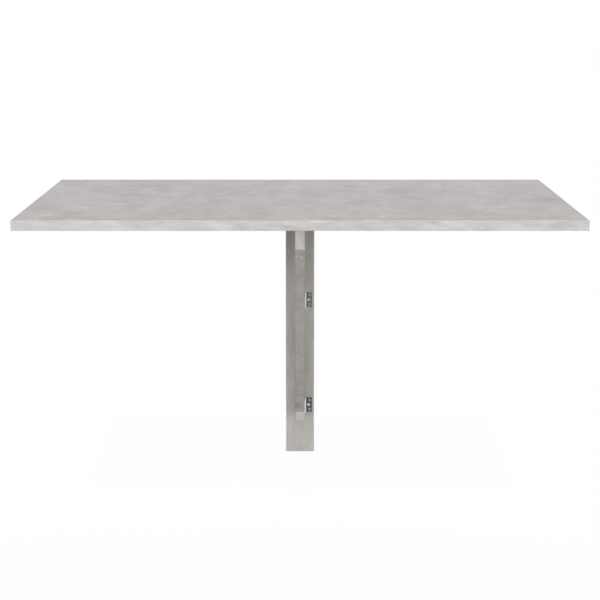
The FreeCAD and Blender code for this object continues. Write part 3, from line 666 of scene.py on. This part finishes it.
END_KNUCKLE = MIDDLE_KNUCKLE + KNUCKLE_GAP
end_knuckles = ((-HINGE_HALF, -END_KNUCKLE), (END_KNUCKLE, HINGE_HALF))
end_knuckle_leaf = rolled_leaf("end_knuckle_leaf", end_knuckles)
middle_knuckle_leaf = rolled_leaf("middle_knuckle_leaf", ((-MIDDLE_KNUCKLE, MIDDLE_KNUCKLE),))
ON_SPINE = turned_axes((1, 0, 0), (0, -1, 0))
ON_BRACKET = turned_axes((0, -1, 0), (1, 0, 0))
for side, tone in SWING_HINGE_TONES.items():
    hinge = f"{side}_hinge"
    pin = f"{hinge}_pin"
    steel = hinge_material(f"{hinge}_steel", pin, TO_ROOM, tone)
    set_hinge_leaf(end_knuckle_leaf, f"{hinge}_spine_leaf", pin, ON_SPINE, steel, "wall_frame")
    set_hinge_leaf(middle_knuckle_leaf, f"{hinge}_bracket_leaf", pin, ON_BRACKET, steel, "bracket")

# The hinge pins are bright drawn steel wire, cut to length and broken at both ends.
# Each is pushed through the rolled knuckles of its two leaves and stands a little proud of them.
DULL_WIRE = (0.520, 0.510, 0.500, 1.0)
BRIGHT_WIRE = (0.640, 0.630, 0.620, 1.0)
SWING_PINS = ["upper_hinge_pin", "lower_hinge_pin"]
SEAM_PINS = ["left_seam_hinge_pin", "middle_seam_hinge_pin", "right_seam_hinge_pin"]


def drawn_wire(name):
    material, tree, shader, place = new_material(name)
    draw_run = vector_node(tree, "MULTIPLY", place, (1.0, 1.0, 0.05))
    drawn = noise(tree, draw_run, scale=6000.0)
    feed(tree, shader.inputs["Base Color"], mixed_colour(tree, drawn, DULL_WIRE, BRIGHT_WIRE))
    feed(tree, shader.inputs["Roughness"], weighted_sum(tree, 0.18, [(drawn, 0.14)]))
    shader.inputs["Metallic"].default_value = 1.0
    return material


finish_with(drawn_wire("pin_wire"), *SWING_PINS, *SEAM_PINS)

# The hinge screws are small countersunk chipboard screws of plated steel with a cross recess.
# Three hold each hinge leaf, driven until the heads sit in the sheet.
# The middle one stands nearer the pin, and its plating is given brighter colours than the outer ones.
DULL_PLATING = ((0.270, 0.265, 0.260, 1.0), (0.440, 0.432, 0.424, 1.0))
BRIGHT_PLATING = ((0.660, 0.652, 0.644, 1.0), (0.880, 0.870, 0.858, 1.0))


def plated_steel(name, shades):
    material, tree, shader, place = new_material(name)
    plating = noise(tree, place, scale=1500.0, detail=3.0, roughness=0.6)
    feed(tree, shader.inputs["Base Color"], mixed_colour(tree, plating, *shades))
    feed(tree, shader.inputs["Roughness"], weighted_sum(tree, 0.22, [(plating, 0.20)]))
    shader.inputs["Metallic"].default_value = 1.0
    return material


outer_screw_steel = plated_steel("outer_screw_steel", DULL_PLATING)
middle_screw_steel = plated_steel("middle_screw_steel", BRIGHT_PLATING)

# Below the rim of its head the screw goes down in stages, each a drop and the radius that it ends with
HEAD_RIM = 0.0001
HEAD_CHAMFER = 0.00025
HEAD_CROWN = 0.00010
SCREW_ROOT = 0.0010
HEAD_CONE = (0.0012, 0.0015)
HEAD_NECK = (0.0006, SCREW_ROOT)
SHANK = (0.0072, SCREW_ROOT)
TIP = (0.0029, 0.00008)
bpy.ops.object.select_all(action="DESELECT")
bpy.ops.mesh.primitive_cylinder_add(
    vertices=32, radius=SCREW_HEAD, depth=HEAD_RIM, location=(0.0, 0.0, -HEAD_RIM / 2)
)
hinge_screw = bpy.context.object
hinge_screw.name = "hinge_screw"
bpy.ops.object.transform_apply(location=True, rotation=True, scale=True)
select_where(hinge_screw, "FACE", lambda co: co.z > -PLACE_SLACK)
bpy.ops.mesh.inset(thickness=HEAD_CHAMFER, depth=HEAD_CROWN)
select_where(hinge_screw, "FACE", lambda co: co.z < PLACE_SLACK - HEAD_RIM)
reached = SCREW_HEAD
for drop, radius in (HEAD_CONE, HEAD_NECK, SHANK, TIP):
    bpy.ops.mesh.extrude_region_move(TRANSFORM_OT_translate={"value": (0.0, 0.0, -drop)})
    bpy.ops.transform.resize(value=(radius / reached, radius / reached, 1.0))
    reached = radius
bpy.ops.object.mode_set(mode="OBJECT")

THREAD_CREST = 0.0014
THREAD_RIDGE = 0.0003
THREAD_PITCH = 0.0009
THREAD_TURNS = 8
THREAD_STEPS = 16
THREAD_START = -0.0095
bpy.ops.object.select_all(action="DESELECT")
bpy.ops.mesh.primitive_circle_add(
    vertices=3,
    radius=THREAD_RIDGE,
    location=(THREAD_CREST - THREAD_RIDGE, 0.0, THREAD_START),
    rotation=(math.pi / 2, math.pi / 2, 0.0),
)
thread = bpy.context.object
bpy.ops.object.transform_apply(location=True, rotation=True, scale=True)
helix = {"axis": "Z", "screw_offset": THREAD_PITCH, "iterations": THREAD_TURNS}
apply_modifier(thread, "SCREW", steps=THREAD_STEPS, render_steps=THREAD_STEPS, **helix)
bpy.ops.object.mode_set(mode="EDIT")
bpy.ops.mesh.select_all(action="SELECT")
bpy.ops.mesh.remove_doubles(threshold=MERGE_WITHIN)
bpy.ops.mesh.fill_holes(sides=4)
bpy.ops.mesh.normals_make_consistent(inside=False)
bpy.ops.object.mode_set(mode="OBJECT")
combine(hinge_screw, thread, "UNION")

RECESS_LENGTH = 0.0029
RECESS_WIDTH = 0.0006
RECESS_MIDDLE = -0.0004
RECESS_TAPER = 0.45
RECESS_BLADES = ((0.0, 0.0022), (math.pi / 2, 0.0023))
for turn, depth in RECESS_BLADES:
    bpy.ops.object.select_all(action="DESELECT")
    bpy.ops.mesh.primitive_cube_add(size=1.0, location=(0.0, 0.0, RECESS_MIDDLE), rotation=(0.0, 0.0, turn))
    blade = bpy.context.object
    blade.scale = (RECESS_LENGTH, RECESS_WIDTH, depth)
    bpy.ops.object.transform_apply(location=True, rotation=True, scale=True)
    select_where(blade, "FACE", lambda co: co.z < RECESS_MIDDLE - PLACE_SLACK)
    bpy.ops.transform.resize(value=(RECESS_TAPER, RECESS_TAPER, 1.0))
    bpy.ops.object.mode_set(mode="OBJECT")
    combine(hinge_screw, blade, "DIFFERENCE")
smooth_shaded(hinge_screw)
INTO_LEAF = turned_axes((1, 0, 0), (0, 0, -1))
FIRST_SCREW_TURN = 0.4
NEXT_SCREW_TURN = 1.1


def set_screws(node, pins, turn, body):
    """Three screws to each of these hinge leaves, joined into one piece."""
    bpy.ops.object.select_all(action="DESELECT")
    driven = []
    for pin in pins:
        for reach, height in SINK_PLACES:
            place = middle_of(pin) + turn @ Vector((reach, SINK_FACE, height))
            spin = Matrix.Rotation(FIRST_SCREW_TURN + NEXT_SCREW_TURN * len(driven), 3, "Z")
            screw = placed_copy(hinge_screw, f"{node}_driven", place, turn @ INTO_LEAF @ spin)
            screw.data.materials.append(outer_screw_steel if height else middle_screw_steel)
            screw.select_set(True)
            driven.append(screw)
    bpy.context.view_layer.objects.active = driven[0]
    bpy.ops.object.join()
    screws = bpy.context.object
    screws.name = f"{node}_driven"
    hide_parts(node)
    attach(screws, body)


set_screws("spine_hinge_screws", SWING_PINS, ON_SPINE, "wall_frame")
set_screws("bracket_hinge_screws", SWING_PINS, ON_BRACKET, "bracket")

# The drop leaf is the large front part of the table top, one 18 mm board with band on all four edges.
# It is hinged to the strip and rests on the bracket; its print runs with the width, as on the strip.
# The leaf's bands take a paler copy of the concrete ground, painted light as on a front edge lit from ahead
LEAF_BAND_PAINTED_LIGHT = (0.590, 0.567, 0.556, 1.0)
leaf_band_run = ((1.3, 2.2, 4.8), ALONG, (1.0, 3.0, 3.0))
leaf_end_run = ((2.9, 0.6, 3.5), ACROSS, (3.0, 1.0, 3.0))
face_board("drop_leaf", "leaf_board", TOP_RUN, CONCRETE, TOP_CONTRAST)
band_edges(["leaf_front_band", "leaf_rear_band"], "leaf_band", leaf_band_run, LEAF_BAND_PAINTED_LIGHT)
band_edges(["leaf_left_band", "leaf_right_band"], "leaf_end_band", leaf_end_run, LEAF_BAND_PAINTED_LIGHT)

# Three hinges of the same pattern lie across the seam on the underside, screwed to strip and leaf.
# One is near each end and one beside the bracket. Their barrels sit under the gap, so the leaf can hang
# straight down in front of the wall boards.
DOWNWARDS = (0.0, 0.0, -1.0)
UNDER_STRIP = turned_axes((0, 1, 0), (0, 0, -1))
UNDER_LEAF = turned_axes((0, -1, 0), (0, 0, -1))
# The seam hinges' barrels carry the painted highlight on the side that faces down
steel = hinge_material("seam_hinge_steel", "middle_seam_hinge_pin", DOWNWARDS)
for pin in SEAM_PINS:
    hinge = pin.removesuffix("_pin")
    set_hinge_leaf(end_knuckle_leaf, f"{hinge}_strip_leaf", pin, UNDER_STRIP, steel, "wall_frame")
    set_hinge_leaf(middle_knuckle_leaf, f"{hinge}_moving_leaf", pin, UNDER_LEAF, steel, "leaf")
set_screws("strip_hinge_screws", SEAM_PINS, UNDER_STRIP, "wall_frame")
set_screws("leaf_hinge_screws", SEAM_PINS, UNDER_LEAF, "leaf")
for pattern in (end_knuckle_leaf, middle_knuckle_leaf, hinge_screw):
    bpy.data.objects.remove(pattern)

# The studio: a plain pale floor that shows the table's shadow and is clear from below, and white
# surroundings. Soft light comes from behind, from a low strip ahead and from both sides, a softbox
# lights the front, and a key above it lays the leaf's shadow across the spine.
WHITE = (1.0, 1.0, 1.0, 1.0)
FLOOR_SIZE = 80.0
FLOOR_LEVEL = -0.692
FLOOR_GREY = (0.10, 0.10, 0.10, 1.0)
FLOOR_SEEN = 0.91
FLOOR_FILL = 0.10


def seen_rays(tree):
    """One for what the camera, reflections and glass show, nothing for what lights the table."""
    path = add_node(tree, "ShaderNodeLightPath").outputs
    seen = math_node(tree, "MAXIMUM", path["Is Camera Ray"], path["Is Glossy Ray"])
    return math_node(tree, "MAXIMUM", seen, path["Is Transmission Ray"])


bpy.ops.object.select_all(action="DESELECT")
bpy.ops.mesh.primitive_plane_add(size=FLOOR_SIZE, location=(0.0, 0.0, FLOOR_LEVEL))
floor = bpy.context.object
floor.name = "floor"
floor_paint = bpy.data.materials.new("pale_floor")
floor_paint.use_nodes = True
tree = floor_paint.node_tree
shader = tree.nodes["Principled BSDF"]
shader.inputs["Base Color"].default_value = FLOOR_GREY
shader.inputs["Roughness"].default_value = 0.9
shader.inputs["Specular IOR Level"].default_value = 0.0
paleness = math_node(tree, "MULTIPLY_ADD", seen_rays(tree), FLOOR_SEEN - FLOOR_FILL, FLOOR_FILL)
pale = add_node(tree, "ShaderNodeEmission", {"Color": WHITE, "Strength": paleness})
both = add_node(tree, "ShaderNodeAddShader", {0: shader.outputs[0], 1: pale.outputs[0]})
from_below = add_node(tree, "ShaderNodeNewGeometry").outputs["Backfacing"]
clear = add_node(tree, "ShaderNodeBsdfTransparent")
surface = add_node(tree, "ShaderNodeMixShader", {0: from_below, 1: both.outputs[0], 2: clear.outputs[0]})
feed(tree, tree.nodes["Material Output"].inputs["Surface"], surface.outputs[0])
floor.data.materials.append(floor_paint)

SKY_AHEAD = 0.15
SKY_BEHIND = 1.14
STRIP_LIGHT = 7.2
SIDE_LIGHT = 1.0
world = bpy.data.worlds.new("white_studio")
bpy.context.scene.world = world
world.use_nodes = True
tree = world.node_tree
heading = axes_of(tree, add_node(tree, "ShaderNodeTexCoord").outputs["Generated"])
sky = ramp_between(tree, heading["Y"], low=-0.35, high=0.35, bottom=SKY_AHEAD, top=SKY_BEHIND)
ahead = fade_between(tree, heading["Y"], low=-0.95, high=-0.05)
above_floor = ramp_between(tree, heading["Z"], low=0.02, high=0.06)
strip = math_node(tree, "MULTIPLY", above_floor, fade_between(tree, heading["Z"], low=0.10, high=0.18))
strip = math_node(tree, "MULTIPLY", ahead, strip)
beside = ramp_between(tree, math_node(tree, "ABSOLUTE", heading["X"]), low=0.70, high=0.98)
sides = math_node(tree, "MULTIPLY", beside, fade_between(tree, heading["Z"], low=0.20, high=0.55))
light = weighted_sum(tree, sky, [(strip, STRIP_LIGHT), (sides, SIDE_LIGHT)])
strength = add_node(tree, "ShaderNodeMix", {0: seen_rays(tree), 2: light, 3: 1.0}).outputs[0]
feed(tree, tree.nodes["Background"].inputs["Strength"], strength)
tree.nodes["Background"].inputs["Color"].default_value = WHITE

# Each lamp: its name, strength, spread and height above the horizon, the last two in degrees
LAMPS = (("front_key", 0.54, 1.2, 40.3), ("front_softbox", 1.05, 22.0, 8.5))
for name, energy, spread, height in LAMPS:
    lamp_data = bpy.data.lights.new(name, "SUN")
    lamp_data.energy = energy
    lamp_data.angle = math.radians(spread)
    lamp = bpy.data.objects.new(name, lamp_data)
    lamp.rotation_euler = (math.radians(90.0 - height), 0.0, 0.0)
    lamp.visible_glossy = False
    bpy.context.scene.collection.objects.link(lamp)

# The camera stands in the middle, well back from the table, and looks a little down
CAMERA_PLACE = (0.0, -3.3099, 0.449)
CAMERA_TILT = 11.08
CAMERA_LENS = 95.1
CAMERA_SENSOR = 36.0
camera_data = bpy.data.cameras.new("front_camera")
camera_data.lens = CAMERA_LENS
camera_data.sensor_width = CAMERA_SENSOR
camera = bpy.data.objects.new("front_camera", camera_data)
camera.location = CAMERA_PLACE
camera.rotation_euler = (math.radians(90.0 - CAMERA_TILT), 0.0, 0.0)
bpy.context.scene.collection.objects.link(camera)
bpy.context.scene.camera = camera

bpy.context.scene.view_settings.view_transform = "Standard"
